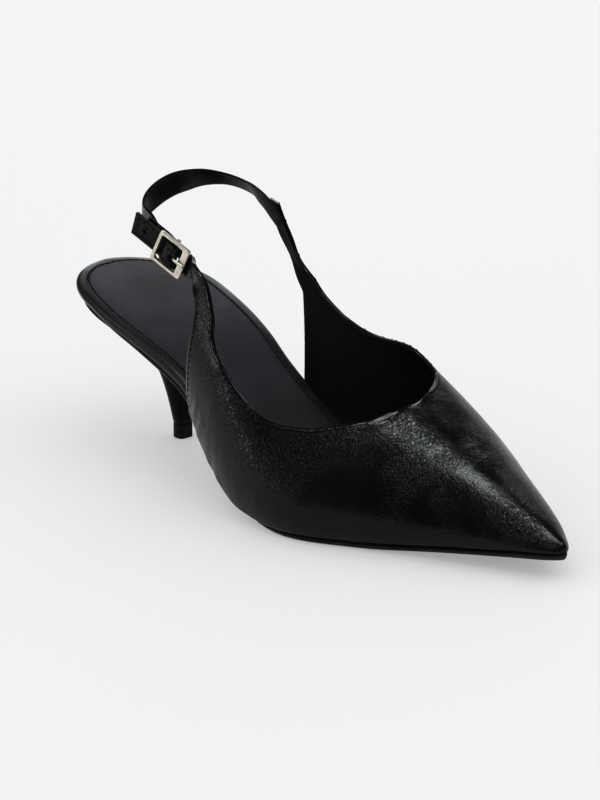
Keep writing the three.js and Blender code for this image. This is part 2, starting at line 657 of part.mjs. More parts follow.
// Buckle: a flat frame with a broad front bar, and the pin set back between two lugs
function buckleFrame() {
  const roundedBox = (x0, x1, half, radius, target) => {
    target.moveTo(x0 + radius, -half);
    target.lineTo(x1 - radius, -half);
    target.quadraticCurveTo(x1, -half, x1, -half + radius);
    target.lineTo(x1, half - radius);
    target.quadraticCurveTo(x1, half, x1 - radius, half);
    target.lineTo(x0 + radius, half);
    target.quadraticCurveTo(x0, half, x0, half - radius);
    target.lineTo(x0, -half + radius);
    target.quadraticCurveTo(x0, -half, x0 + radius, -half);
    return target;
  };
  const reach = buckleLength / 2;
  const shape = roundedBox(-reach, reach, buckleWidth / 2, 1.2, new THREE.Shape());
  shape.holes.push(roundedBox(
    -reach + rearBarWidth, reach - frontBarWidth, buckleWidth / 2 - railWidth, 0.6, new THREE.Path()));
  const bevel = 0.25;
  const plate = new THREE.ExtrudeGeometry(shape, {
    depth: buckleThickness - 2 * bevel, curveSegments: 3,
    bevelSize: bevel, bevelThickness: bevel, bevelOffset: -bevel, bevelSegments: 1,
  });
  plate.translate(0, 0, bevel - buckleThickness / 2).rotateX(Math.PI / 2);
  const lugHeight = -pinDepth + pinRadius;
  const lugs = [-1, 1].map((end) => new THREE.BoxGeometry(2.4 * pinRadius, lugHeight, railWidth * 0.8)
    .translate(0, -lugHeight / 2, end * (buckleWidth - railWidth) / 2));
  const pin = new THREE.CylinderGeometry(pinRadius, pinRadius, buckleWidth - railWidth, 12)
    .rotateX(Math.PI / 2).translate(0, pinDepth, 0);
  return join([plate, ...lugs, pin]).applyMatrix4(buckleMatrix);
}

// Prong: an eye round the pin, up through the strap's hole and down on the front bar
function prong() {
  const eye = pinRadius + 0.8 * clearance + prongRadius;
  const points = [];
  for (let i = 0; i <= 7; i += 1) {
    const angle = -0.15 * Math.PI - 1.25 * Math.PI * i / 7;
    points.push(new THREE.Vector3(eye * Math.cos(angle), pinDepth + eye * Math.sin(angle), 0));
  }
  const rest = buckleThickness / 2 + clearance + prongRadius;
  const reach = buckleLength / 2;
  points.push(
    new THREE.Vector3(0.2 * reach, 0.23 * rest, 0),
    new THREE.Vector3(0.365 * reach, 0.94 * rest, 0),
    new THREE.Vector3(0.57 * reach, 1.1 * rest, 0),
    new THREE.Vector3(1.015 * reach, rest, 0),
  );
  const shape = new THREE.Shape().absarc(0, 0, prongRadius, 0, 2 * Math.PI, false);
  return new THREE.ExtrudeGeometry(shape, {
    extrudePath: new THREE.CatmullRomCurve3(points, false, 'centripetal'),
    steps: 30, curveSegments: 8, bevelEnabled: false,
  }).applyMatrix4(buckleMatrix);
}

// Finishes
const finish = (color, roughness, metalness = 0) => new THREE.MeshStandardMaterial({ color, roughness, metalness });
const finishes = {
  leather: finish(0x0b0b0c, 0.35),
  footbed: finish(0x17181a, 0.55),
  sole: finish(0x0e0e0e, 0.6),
  heel: finish(0x0c0c0d, 0.35),
  rubber: finish(0x101010, 0.8),
  metal: finish(0xcfc5ac, 0.25, 1),
};

const group = new THREE.Group();
function piece(name, geometry, material) {
  const mesh = new THREE.Mesh(geometry, material);
  mesh.name = name;
  group.add(mesh);
}
piece('outsole', outsole, finishes.sole);
piece('heel', heel, finishes.heel);
piece('top_piece', topPiece, finishes.rubber);
piece('footbed', footbed, finishes.footbed);
piece('upper', upper, finishes.leather);
piece('sling', sling, finishes.leather);
piece('buckle', buckleFrame(), finishes.metal);
piece('prong', prong(), finishes.metal);

// The origin is the middle of the box that holds the shoe, on the floor
const box = new THREE.Box3().setFromObject(group);
const middle = box.getCenter(new THREE.Vector3());
group.position.set(-middle.x, -middle.y, -box.min.z);
group.updateMatrixWorld(true);

export default group;
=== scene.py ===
import math

import bmesh
import bpy
import numpy as np
from mathutils import Matrix, Vector
from mathutils.bvhtree import BVHTree
from mathutils.kdtree import KDTree


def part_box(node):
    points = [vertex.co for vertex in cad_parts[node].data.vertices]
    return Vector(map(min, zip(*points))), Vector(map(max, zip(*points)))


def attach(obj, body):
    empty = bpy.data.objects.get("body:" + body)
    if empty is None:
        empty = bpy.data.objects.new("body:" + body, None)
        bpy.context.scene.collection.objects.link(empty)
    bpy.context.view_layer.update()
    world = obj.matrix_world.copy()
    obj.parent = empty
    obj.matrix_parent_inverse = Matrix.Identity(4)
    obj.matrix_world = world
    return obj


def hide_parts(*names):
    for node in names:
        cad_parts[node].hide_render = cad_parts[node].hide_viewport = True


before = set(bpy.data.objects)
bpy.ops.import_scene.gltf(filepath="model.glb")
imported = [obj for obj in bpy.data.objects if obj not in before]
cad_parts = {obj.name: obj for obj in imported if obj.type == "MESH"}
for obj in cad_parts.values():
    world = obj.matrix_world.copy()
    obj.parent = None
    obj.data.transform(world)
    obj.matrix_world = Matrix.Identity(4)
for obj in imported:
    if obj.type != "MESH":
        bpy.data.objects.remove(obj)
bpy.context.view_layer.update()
mm = 0.001
print("frame loaded:", ", ".join(sorted(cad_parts)))

# The shoe is measured from the back of its seat: along to the toe, side to the outer side, up from the floor
tipLow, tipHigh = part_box("top_piece")
zeroX = (tipLow.x + tipHigh.x) / 2
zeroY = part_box("footbed")[1].y


def place(along, side, up):
    return Vector((zeroX - side * mm, zeroY - along * mm, up * mm))


def alongOf(point):
    return (zeroY - point.y) / mm


def sideOf(point):
    return (zeroX - point.x) / mm


def smoothStep(low, high, value):
    t = min(max((value - low) / (high - low), 0), 1)
    return t * t * (3 - 2 * t)


# Studio
studio = {
    "floorColor": (0.455, 0.454, 0.451, 1),
    "floorGlow": 0.385,     # the floor glows by itself, painted light that keeps the shoe's shadows on it pale
    "floorRadius": 6.0,
    "floorSides": 96,
    "floorRoughness": 0.75,
    "floorSpecular": 0.15,
    "skyColor": (0.86, 0.86, 0.862, 1),
    "roomLow": (1.12, 1.12, 1.12, 1),       # light from the room's walls
    "roomHigh": (1.16, 1.16, 1.16, 1),      # and from its ceiling
    "roomRise": (0.15, 0.95),
    "mirroredRoom": (0.082, 0.087, 0.098, 1),   # the dark room that gloss mirrors beside the lamps
    "lampColor": (0.95, 0.98, 1.0),
    # along, side, up in mm; the eye is the photo's, and it looks at the middle of the shoe
    "eye": (971.8, 738.6, 404.5),
    "aim": (127, 8, 36),
    "lens": 97,
    "sensorHeight": 24,
    "gamma": 0.8,           # the photo's deep blacks
}
lightSetups = {
    # at and aim are along, side, up in mm; size is in metres and power in watts
    "ceiling": {"at": (160, -170, 2330), "aim": (170, 0, 30), "size": (0.78, 0.66), "power": 31},
    "toeLamp": {"at": (960, -60, 2300), "aim": (249, 0, 14), "size": (0.3, 0.3), "power": 5},
    "backdrop": {"at": (-900, -2200, 330), "aim": (180, 0, 40), "size": (1.5, 0.4), "power": 1.5},
    "seatLamp": {"at": (-1560, -1470, 700), "aim": (60, 0, 55), "size": (1.1, 0.5), "power": 7},
    "backLamp": {"at": (-1300, 950, 1900), "aim": (60, 0, 60), "size": (0.9, 0.6), "power": 14},
    "innerLamp": {"at": (1320, 870, 1950), "aim": (150, -20, 30), "size": (0.8, 0.5), "power": 4},
    "sideStrip": {"at": (-1100, 1640, 230), "aim": (105, 30, 60), "size": (0.2, 0.5), "power": 3.2},
}


def makeRoom(scene):
    # the lens sees the sky, gloss mirrors a dark room, and all else is lit by a pale one
    world = bpy.data.worlds.new("studioRoom")
    scene.world = world
    world.use_nodes = True
    tree = world.node_tree
    tree.nodes.clear()
    output = tree.nodes.new("ShaderNodeOutputWorld")
    mix = tree.nodes.new("ShaderNodeMixShader")
    mirror = tree.nodes.new("ShaderNodeMixShader")
    mirrored = tree.nodes.new("ShaderNodeBackground")
    room = tree.nodes.new("ShaderNodeBackground")
    sky = tree.nodes.new("ShaderNodeBackground")
    path = tree.nodes.new("ShaderNodeLightPath")
    direction = tree.nodes.new("ShaderNodeTexCoord")
    split = tree.nodes.new("ShaderNodeSeparateXYZ")
    rise = tree.nodes.new("ShaderNodeMapRange")
    rise.interpolation_type = "SMOOTHSTEP"
    rise.inputs["From Min"].default_value, rise.inputs["From Max"].default_value = studio["roomRise"]
    blend = tree.nodes.new("ShaderNodeMix")
    blend.data_type = "RGBA"
    blend.inputs["A"].default_value = studio["roomLow"]
    blend.inputs["B"].default_value = studio["roomHigh"]
    mirrored.inputs["Color"].default_value = studio["mirroredRoom"]
    sky.inputs["Color"].default_value = studio["skyColor"]
    for source, target in (
            (direction.outputs["Generated"], split.inputs["Vector"]),
            (split.outputs["Z"], rise.inputs["Value"]),
            (rise.outputs["Result"], blend.inputs["Factor"]),
            (blend.outputs["Result"], room.inputs["Color"]),
            (path.outputs["Is Camera Ray"], mix.inputs["Fac"]),
            (path.outputs["Is Glossy Ray"], mirror.inputs["Fac"]),
            (room.outputs[0], mirror.inputs[1]),
            (mirrored.outputs[0], mirror.inputs[2]),
            (mirror.outputs[0], mix.inputs[1]),
            (sky.outputs[0], mix.inputs[2]),
            (mix.outputs[0], output.inputs["Surface"])):
        tree.links.new(source, target)


def makeFloor(scene):
    bm = bmesh.new()
    bmesh.ops.create_circle(bm, cap_ends=True, segments=studio["floorSides"], radius=studio["floorRadius"])
    mesh = bpy.data.meshes.new("floor")
    bm.to_mesh(mesh)
    bm.free()
    floor = bpy.data.objects.new("floor", mesh)
    scene.collection.objects.link(floor)
    material = bpy.data.materials.new("paleFloor")
    material.use_nodes = True
    shader = material.node_tree.nodes["Principled BSDF"]
    shader.inputs["Base Color"].default_value = studio["floorColor"]
    # the floor's own glow is painted light, which lifts the shadows that fall on it
    shader.inputs["Emission Color"].default_value = (1, 1, 1, 1)
    shader.inputs["Emission Strength"].default_value = studio["floorGlow"]
    shader.inputs["Roughness"].default_value = studio["floorRoughness"]
    shader.inputs["Specular IOR Level"].default_value = studio["floorSpecular"]
    mesh.materials.append(material)


def stand(scene, name, data, at, aim):
    # a lamp or camera at one place, turned to another
    thing = bpy.data.objects.new(name, data)
    thing.location = place(*at)
    thing.rotation_euler = (place(*aim) - thing.location).to_track_quat("-Z", "Y").to_euler()
    scene.collection.objects.link(thing)
    return thing


def makeStudio():
    scene = bpy.context.scene
    scene.view_settings.view_transform = "Standard"
    scene.view_settings.gamma = studio["gamma"]
    makeRoom(scene)
    makeFloor(scene)
    for name, setup in lightSetups.items():
        light = bpy.data.lights.new(name, "AREA")
        light.color = studio["lampColor"]
        light.shape = "RECTANGLE"
        light.size, light.size_y = setup["size"]
        light.energy = setup["power"]
        lamp = stand(scene, name, light, setup["at"], setup["aim"])
        lamp.visible_diffuse = False      # the room lights the floor; the lamps give the gloss
    camera = bpy.data.cameras.new("camera")
    camera.sensor_fit = "VERTICAL"
    camera.sensor_height = studio["sensorHeight"]
    camera.lens = studio["lens"]
    scene.camera = stand(scene, "camera", camera, studio["eye"], studio["aim"])
    print("studio ready")


makeStudio()


# Materials
class Finish:       # one node material; its patterns are in Object coordinates or follow an attribute
    def __init__(self, name, color, roughness, **sockets):
        self.material = bpy.data.materials.new(name)
        self.material.use_nodes = True
        self.tree = self.material.node_tree
        self.shader = self.tree.nodes["Principled BSDF"]
        self.shader.inputs["Base Color"].default_value = (*color, 1)
        self.shader.inputs["Roughness"].default_value = roughness
        for key, value in sockets.items():
            self.shader.inputs[key.replace("_", " ")].default_value = value
        self.coords = self.tree.nodes.new("ShaderNodeTexCoord")
        self.height = None


def mathNode(finish, operation, *values):
    # each value is a number or a node's output
    node = finish.tree.nodes.new("ShaderNodeMath")
    node.operation = operation
    for socket, value in zip(node.inputs, values):
        if isinstance(value, (int, float)):
            socket.default_value = value
        else:
            finish.tree.links.new(value, socket)
    return node.outputs[0]


def remap(finish, value, low, high, toLow=0.0, toHigh=1.0):
    node = finish.tree.nodes.new("ShaderNodeMapRange")
    node.interpolation_type = "SMOOTHSTEP"
    finish.tree.links.new(value, node.inputs["Value"])
    for socket, number in zip(("From Min", "From Max", "To Min", "To Max"), (low, high, toLow, toHigh)):
        node.inputs[socket].default_value = number
    return node.outputs["Result"]


def stretched(finish, scale, turn):
    # scale is how many times a metre the pattern repeats, along x, y and z or all three; turn is in degrees
    node = finish.tree.nodes.new("ShaderNodeMapping")
    node.inputs["Scale"].default_value = scale if isinstance(scale, tuple) else (scale, scale, scale)
    node.inputs["Rotation"].default_value = [math.radians(v) for v in turn]
    finish.tree.links.new(finish.coords.outputs["Object"], node.inputs["Vector"])
    return node.outputs["Vector"]


def noiseNode(finish, scale, detail, turn=(0, 0, 0), distortion=0.0):
    node = finish.tree.nodes.new("ShaderNodeTexNoise")
    finish.tree.links.new(stretched(finish, scale, turn), node.inputs["Vector"])
    node.inputs["Scale"].default_value = 1
    node.inputs["Detail"].default_value = detail
    node.inputs["Distortion"].default_value = distortion
    return node.outputs["Fac"]


def poreNode(finish, scale):
    node = finish.tree.nodes.new("ShaderNodeTexVoronoi")
    finish.tree.links.new(stretched(finish, scale, (0, 0, 0)), node.inputs["Vector"])
    node.inputs["Scale"].default_value = 1
    return node.outputs["Distance"]


def crackNode(finish, scale, turn, waver, waverScale):
    # distance to the borders of cells, which bend by waver, a share of a cell
    node = finish.tree.nodes.new("ShaderNodeTexVoronoi")
    node.feature = "DISTANCE_TO_EDGE"
    vector = stretched(finish, scale, turn)
    cloud = finish.tree.nodes.new("ShaderNodeTexNoise")
    cloud.inputs["Scale"].default_value = waverScale
    finish.tree.links.new(vector, cloud.inputs["Vector"])
    offset = finish.tree.nodes.new("ShaderNodeVectorMath")
    offset.operation = "MULTIPLY_ADD"
    offset.inputs[1].default_value = (waver, waver, waver)
    finish.tree.links.new(cloud.outputs["Color"], offset.inputs[0])
    finish.tree.links.new(vector, offset.inputs[2])
    finish.tree.links.new(offset.outputs["Vector"], node.inputs["Vector"])
    node.inputs["Scale"].default_value = 1
    return node.outputs["Distance"]


def edgeGapNode(finish):
    node = finish.tree.nodes.new("ShaderNodeAttribute")
    node.attribute_name = "edgeGap"
    return node.outputs["Fac"]


def bump(finish, height, distance):
    # several bumps are stacked, each on the one before
    node = finish.tree.nodes.new("ShaderNodeBump")
    node.inputs["Distance"].default_value = distance
    node.inputs["Strength"].default_value = 1
    finish.tree.links.new(height, node.inputs["Height"])
    if finish.height:
        finish.tree.links.new(finish.height, node.inputs["Normal"])
    finish.height = node.outputs["Normal"]
    finish.tree.links.new(finish.height, finish.shader.inputs["Normal"])
    finish.tree.links.new(finish.height, finish.shader.inputs["Coat Normal"])


def blendNode(finish, factor, a, b):
    # a and b are plain colours or a node's output
    node = finish.tree.nodes.new("ShaderNodeMix")
    node.data_type = "RGBA"
    finish.tree.links.new(factor, node.inputs["Factor"])
    for socket, value in ((node.inputs["A"], a), (node.inputs["B"], b)):
        if isinstance(value, tuple):
            socket.default_value = (*value, 1)
        else:
            finish.tree.links.new(value, socket)
    return node.outputs["Result"]


def mottle(finish, look):
    # the base colour drifts between a dark and a light tone
    cloud = noiseNode(finish, *look["mottle"])
    color = blendNode(finish, remap(finish, cloud, *look["mottleRange"]), look["dark"], look["light"])
    finish.tree.links.new(color, finish.shader.inputs["Base Color"])
    return color


noiseSpread = (0.3, 0.7)        # where nearly all of a noise lies


def roughen(finish, look):
    cloud = noiseNode(finish, *look["roughCloud"])
    rough = remap(finish, cloud, *noiseSpread, *look["roughness"])
    finish.tree.links.new(rough, finish.shader.inputs["Roughness"])
    return rough


# mottle and roughCloud are a noise's repeats a metre and detail; depths and gaps are in metres
leatherLook = {
    "dark": (0.0026, 0.0030, 0.0040),
    "light": (0.0050, 0.0055, 0.0066),
    "mottle": ((38, 30, 38), 4),
    "mottleRange": (0.38, 0.68),
    "roughness": (0.17, 0.27),
    "roughCloud": ((90, 120, 90), 3),
    "specular": 0.09,
    "coat": 0.30,
    "coatRoughness": 0.13,
    "wave": {"scale": (55, 90, 55), "detail": 1.5, "turn": (0, 0, 20)},
    "waveDepth": 0.00016,
    "wrinkles": {"scale": (210, 430, 240), "detail": 3, "turn": (0, 0, 24), "distortion": 0.9},
    "wrinkleDepth": 0.0001,
    "cracks": (((330, 760, 360), (0, 8, 24)), ((560, 1250, 600), (6, 0, -12))),   # repeats and turn
    "crackWidth": 0.16,             # shares of a cell
    "crackWaver": 1.3,
    "waverScale": 0.8,
    "crackDepth": 0.00007,
    "pores": 2100,
    "poreDepth": 0.000012,
    "patches": {"scale": (48, 60, 48), "detail": 2},
    "patchRange": (0.38, 0.62),
    "patchShare": 0.3,              # wrinkles left in the smoother patches
    "calmFrom": (0.044, 0.058),     # heights at which the straps' smoother leather begins
    "strapShare": 0.25,
    "edgeCalm": (0.0003, 0.0012),   # gaps from the turned edge, which is pulled smooth
    "foldAt": (0.0010, 0.0016),
    "foldDepth": 0.00014,
}


def makeLeather():
    look = leatherLook
    finish = Finish("crinkledLeather", look["dark"], look["roughness"][1], Specular_IOR_Level=look["specular"],
                    Coat_Weight=look["coat"], Coat_Roughness=look["coatRoughness"])
    mottle(finish, look)
    bump(finish, noiseNode(finish, **look["wave"]), look["waveDepth"])
    patch = remap(finish, noiseNode(finish, **look["patches"]), *look["patchRange"], look["patchShare"], 1.0)
    height = finish.tree.nodes.new("ShaderNodeSeparateXYZ")
    finish.tree.links.new(finish.coords.outputs["Object"], height.inputs["Vector"])
    calm = remap(finish, height.outputs["Z"], *look["calmFrom"], 1.0, look["strapShare"])
    patch = mathNode(finish, "MULTIPLY", patch, calm)
    patch = mathNode(finish, "MULTIPLY", patch, remap(finish, edgeGapNode(finish), *look["edgeCalm"]))
    wrinkle = noiseNode(finish, **look["wrinkles"])
    bump(finish, mathNode(finish, "MULTIPLY", wrinkle, patch), look["wrinkleDepth"])
    for scale, turn in look["cracks"]:
        crack = crackNode(finish, scale, turn, look["crackWaver"], look["waverScale"])
        pad = remap(finish, crack, 0.0, look["crackWidth"])
        bump(finish, mathNode(finish, "MULTIPLY", pad, patch), look["crackDepth"])
    bump(finish, poreNode(finish, look["pores"]), look["poreDepth"])
    bump(finish, remap(finish, edgeGapNode(finish), *look["foldAt"], 1.0, 0.0), look["foldDepth"])
    roughen(finish, look)
    return finish.material


# bump is pores or noise, with repeats a metre, detail and depth; edge is two gaps from the rim and a depth
plainLooks = {
    "smoothLining": {
        "dark": (0.002, 0.002, 0.0022), "light": (0.0035, 0.0035, 0.0037), "mottle": (60, 3),
        "roughness": 0.62, "specular": 0.25, "bump": ("pores", 2400, 0, 0.00003), "edge": (0.0016, 0.0021, 0.0002)},
    "slingLining": {
        "dark": (0.003, 0.003, 0.0033), "light": (0.006, 0.006, 0.0064), "mottle": ((140, 140, 60), 3),
        "roughness": 0.4, "specular": 0.2, "bump": ("pores", 1800, 0, 0.00004), "edge": (0.0009, 0.0013, 0.0002)},
    "soleEdge": {
        "dark": (0.010, 0.0098, 0.0095), "light": (0.020, 0.0192, 0.0182), "mottle": (120, 4),
        "roughness": 0.5, "specular": 0.25, "bump": ("noise", 900, 4, 0.00006)},
    "heelCover": {
        "dark": (0.0025, 0.0025, 0.0027), "light": (0.005, 0.005, 0.005), "mottle": ((150, 150, 60), 3),
        "roughness": 0.24, "specular": 0.1, "bump": ("pores", 1900, 0, 0.00003)},
    "tipRubber": {
        "dark": (0.005, 0.005, 0.005), "light": (0.009, 0.009, 0.0088), "mottle": (300, 3),
        "roughness": 0.6, "specular": 0.2, "bump": ("noise", 1400, 4, 0.00008)},
    "waxedThread": {
        "dark": (0.003, 0.003, 0.0033), "light": (0.006, 0.006, 0.006), "mottle": (400, 1),
        "roughness": 0.75, "specular": 0.06, "bump": ("noise", 3000, 2, 0.00004)},
}


def makePlain(name):
    look = {"mottleRange": (0.35, 0.7), **plainLooks[name]}
    finish = Finish(name, look["dark"], look["roughness"], Specular_IOR_Level=look["specular"])
    mottle(finish, look)
    kind, scale, detail, depth = look["bump"]
    bump(finish, poreNode(finish, scale) if kind == "pores" else noiseNode(finish, scale, detail), depth)
    if "edge" in look:
        low, high, depth = look["edge"]
        bump(finish, remap(finish, edgeGapNode(finish), low, high, 1.0, 0.0), depth)
    return finish.material


footbedLook = {
    "dark": (0.0195, 0.0210, 0.0255),
    "light": (0.0280, 0.0300, 0.0360),
    "mottle": ((26, 14, 26), 5),
    "mottleRange": (0.35, 0.7),
    "roughness": (0.40, 0.54),
    "roughCloud": (45, 3),
    "specular": 0.3,
    "bandColor": (0.0050, 0.0054, 0.0066),      # the glossy band outside the stitched groove
    "bandShade": 0.62,
    "bandGloss": 0.2,
    "bandEnds": (-0.0002, 0.0006),              # beside the groove
    "grooveAt": 0.0046,
    "grooveWidth": (0.0001, 0.0007),
    "grooveDepth": 0.0009,
    "grooveDull": (0.0004, 0.0010, 0.3),        # the groove isn't glossy, so its stitches stay dark
    "pores": 2100,
    "poreDepth": 0.000035,
    "grain": ((300, 500, 300), 3),
    "grainDepth": 0.00008,
}


def makeFootbedCover():
    look = footbedLook
    finish = Finish("insoleCover", look["dark"], look["roughness"][0], Specular_IOR_Level=look["specular"])
    satin = mottle(finish, look)
    gap = edgeGapNode(finish)
    low, high = (look["grooveAt"] + end for end in look["bandEnds"])
    band = remap(finish, gap, low, high, look["bandShade"], 0.0)
    color = blendNode(finish, band, satin, look["bandColor"])
    finish.tree.links.new(color, finish.shader.inputs["Base Color"])
    bump(finish, poreNode(finish, look["pores"]), look["poreDepth"])
    bump(finish, noiseNode(finish, *look["grain"]), look["grainDepth"])
    groove = mathNode(finish, "ABSOLUTE", mathNode(finish, "SUBTRACT", gap, look["grooveAt"]))
    bump(finish, remap(finish, groove, *look["grooveWidth"]), look["grooveDepth"])
    gloss = mathNode(finish, "MULTIPLY", band, look["bandGloss"])
    rough = mathNode(finish, "SUBTRACT", roughen(finish, look), gloss)
    low, high, dull = look["grooveDull"]
    rough = mathNode(finish, "ADD", rough, remap(finish, groove, low, high, dull, 0.0))
    finish.tree.links.new(rough, finish.shader.inputs["Roughness"])
    return finish.material


goldLook = {
    "dark": (0.60, 0.565, 0.48),
    "light": (0.76, 0.72, 0.63),
    "mottle": (500, 3),
    "mottleRange": noiseSpread,
    "roughness": (0.34, 0.44),
    "roughCloud": ((900, 2400, 900), 3),        # brushed
    "wave": (700, 2),
    "waveDepth": 0.00003,
}


def makeGold():
    finish = Finish("paleGold", goldLook["light"], goldLook["roughness"][0], Metallic=1.0)
    mottle(finish, goldLook)
    roughen(finish, goldLook)
    bump(finish, noiseNode(finish, *goldLook["wave"]), goldLook["waveDepth"])
    return finish.material


leather = makeLeather()
lining = makePlain("smoothLining")
strapLining = makePlain("slingLining")
footbedCover = makeFootbedCover()
soleFinish = makePlain("soleEdge")
heelFinish = makePlain("heelCover")
tipRubber = makePlain("tipRubber")
gold = makeGold()
thread = makePlain("waxedThread")
print("materials ready")


# Pieces start from a merged copy of the CAD node that they stand for
mergeGap = 0.004 * mm
bevelSides = 3
bevelAngle = 35     # degrees, the least turn that is rounded


def copyOf(node):
    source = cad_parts[node].data
    bm = bmesh.new()
    corners = [bm.verts.new(v.co) for v in source.vertices]
    for polygon in source.polygons:
        bm.faces.new([corners[i] for i in polygon.vertices])
    bmesh.ops.remove_doubles(bm, verts=bm.verts, dist=mergeGap)
    bmesh.ops.dissolve_degenerate(bm, edges=bm.edges, dist=mergeGap)
    return bm


def joinQuads(bm, faceAngle, shapeAngle):
    # angles are in degrees, here and below
    bmesh.ops.join_triangles(
        bm, faces=bm.faces, cmp_seam=False, cmp_sharp=False, cmp_uvs=False, cmp_vcols=False, cmp_materials=True,
        angle_face_threshold=math.radians(faceAngle), angle_shape_threshold=math.radians(shapeAngle))


def creaseSharp(bm, angle, amount):
    layer = bm.edges.layers.float.get("crease_edge") or bm.edges.layers.float.new("crease_edge")
    for edge in sharpEdges(bm, angle):
        edge[layer] = amount


def sharpEdges(bm, angle):
    return [e for e in bm.edges if len(e.link_faces) == 2 and e.calc_face_angle() > math.radians(angle)]


def finishPiece(bm, name, materials, node=None, levels=0, bevelWidth=0, smooth=True):
    mesh = bpy.data.meshes.new(name)
    bm.to_mesh(mesh)
    bm.free()
    piece = bpy.data.objects.new(name, mesh)
    bpy.context.scene.collection.objects.link(piece)
    for material in materials:
        mesh.materials.append(material)
    if bevelWidth:
        bevel = piece.modifiers.new("edges", "BEVEL")
        bevel.width = bevelWidth
        bevel.segments = bevelSides
        bevel.limit_method = "ANGLE"
        bevel.angle_limit = math.radians(bevelAngle)
    if levels:
        subdivision = piece.modifiers.new("smooth", "SUBSURF")
        subdivision.levels = levels
        subdivision.render_levels = levels
    if bevelWidth or levels:
        applied = bpy.data.meshes.new_from_object(piece.evaluated_get(bpy.context.evaluated_depsgraph_get()))
        piece.modifiers.clear()
        piece.data = applied
        applied.name = name
        bpy.data.meshes.remove(mesh)
    if smooth:
        piece.data.shade_smooth()
    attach(piece, "root")
    if node:
        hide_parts(node)
    return piece


def skins(bm, borders):
    # groups of faces that no border edge crosses, the largest first
    closed = {edge.index for edge in borders}
    left = set(bm.faces)
    groups = []
    while left:
        queue = [left.pop()]
        group = []
        while queue:
            face = queue.pop()
            group.append(face)
            for edge in face.edges:
                if edge.index in closed:
                    continue
                for other in edge.link_faces:
                    if other in left:
                        left.remove(other)
                        queue.append(other)
        groups.append(group)
    return sorted(groups, key=lambda faces: -sum(f.calc_area() for f in faces))


def chains(edges):
    # orders loose edges into runs of vertices
    links = {}
    for edge in edges:
        a, b = edge.verts
        links.setdefault(a, []).append(b)
        links.setdefault(b, []).append(a)
    runs = []
    used = set()
    ends = sorted((v for v in links if len(links[v]) == 1), key=lambda v: v.index)
    for start in ends + sorted(links, key=lambda v: v.index):
        if start in used:
            continue
        run = [start]
        used.add(start)
        while True:
            following = [v for v in links[run[-1]] if v not in used]
            if not following:
                break
            run.append(following[0])
            used.add(following[0])
        if run[0] in links[run[-1]] and len(run) > 2:
            run.append(run[0])
        runs.append(run)
    return runs


def treeOf(points):
    tree = KDTree(len(points))
    for index, point in enumerate(points):
        tree.insert(point, index)
    tree.balance()
    return tree


def edgeGaps(mesh, points):
    # distance from each vertex to a dense line of points, which the materials read
    tree = treeOf(points)
    gaps = np.array([tree.find(v.co)[2] for v in mesh.vertices], np.float32)
    mesh.attributes.new("edgeGap", "FLOAT", "POINT").data.foreach_set("value", gaps)


def evenly(points, step):
    # points at equal steps along a line, each with its direction
    lengths = [0.0]
    for a, b in zip(points, points[1:]):
        lengths.append(lengths[-1] + (b - a).length)
    if lengths[-1] < 2 * step:
        return []
    count = int(lengths[-1] / step)
    out = []
    k = 0
    for i in range(count):
        at = (i + 0.5) * lengths[-1] / count
        while lengths[k + 1] < at:
            k += 1
        span = max(lengths[k + 1] - lengths[k], 1e-9)
        share = (at - lengths[k]) / span
        out.append((points[k].lerp(points[k + 1], share), (points[k + 1] - points[k]).normalized()))
    return out


def alongEdges(edges, step):
    points = []
    for a, b in edges:
        count = max(1, math.ceil((b - a).length / step))
        points += [a.lerp(b, i / count) for i in range(count + 1)]
    return points


def surfaceOf(piece):
    mesh = piece.data
    return BVHTree.FromPolygons([v.co for v in mesh.vertices], [p.vertices for p in mesh.polygons])


def addStitch(bm, spot, normal, direction, look):
    # one raised stitch, lying along its row
    tangent = (direction - normal * direction.dot(normal)).normalized()
    turned = Matrix((tangent, normal.cross(tangent), normal)).transposed().to_4x4()
    size = Matrix.Diagonal([look[k] / 2 * mm for k in ("length", "width", "height")] + [1])
    bmesh.ops.create_icosphere(bm, subdivisions=1, radius=1, matrix=Matrix.Translation(spot) @ turned @ size)


# Upper
upperLook = {
    "rimAngle": 50,         # degrees
    "rimCrease": 0.5,
    "cornerAngle": 27,
    "cornerCrease": 1.0,
    "quads": (40, 70),
    "footBand": 1.2,        # mm above the outsole that counts as the lower edge
    "shortest": 3,          # corners that an open edge has at least
    "levels": 2,
    "edgeStep": 0.4,        # mm
    "toeFrom": 205,
    "toeBase": 8.5,
    "toeRounds": 8,
    "creaseFade": 0.25,     # share of a crease's length over which its ends run out
    "swellAt": 1.9,         # the swell beside a crease, in half widths, and its share of the depth
    "swell": 0.45,
    "creaseReach": 4,       # half widths
    # soft creases: two ends (along, side, up), half width and depth in mm
    "creases": [
        {"from": (118, 41, 14), "to": (122, 39, 44), "width": 2.2, "depth": 0.26},
        {"from": (126, 42, 12), "to": (131, 39, 38), "width": 2.0, "depth": 0.24},
        {"from": (134, 43, 10), "to": (139, 39, 34), "width": 2.2, "depth": 0.22},
        {"from": (101, 36, 24), "to": (109, 39, 33), "width": 1.8, "depth": 0.36},
        {"from": (99, 36, 27), "to": (105, 38, 38), "width": 1.5, "depth": 0.3},
        {"from": (166, 30, 20), "to": (172, 16, 42), "width": 2.6, "depth": 0.35},
        {"from": (176, 24, 22), "to": (183, 8, 42), "width": 2.4, "depth": 0.35},
    ],
}
stationStep = 3     # mm between the stations at which solids are read


def soleTopLine():
    # height of the outsole's top at each station, to tell the upper's lower edge from its open edges
    rows = {}
    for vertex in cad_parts["outsole"].data.vertices:
        key = round(alongOf(vertex.co) / stationStep)
        rows[key] = max(rows.get(key, -1), vertex.co.z / mm)
    keys = sorted(rows)
    return np.array(keys) * float(stationStep), np.array([rows[k] for k in keys])


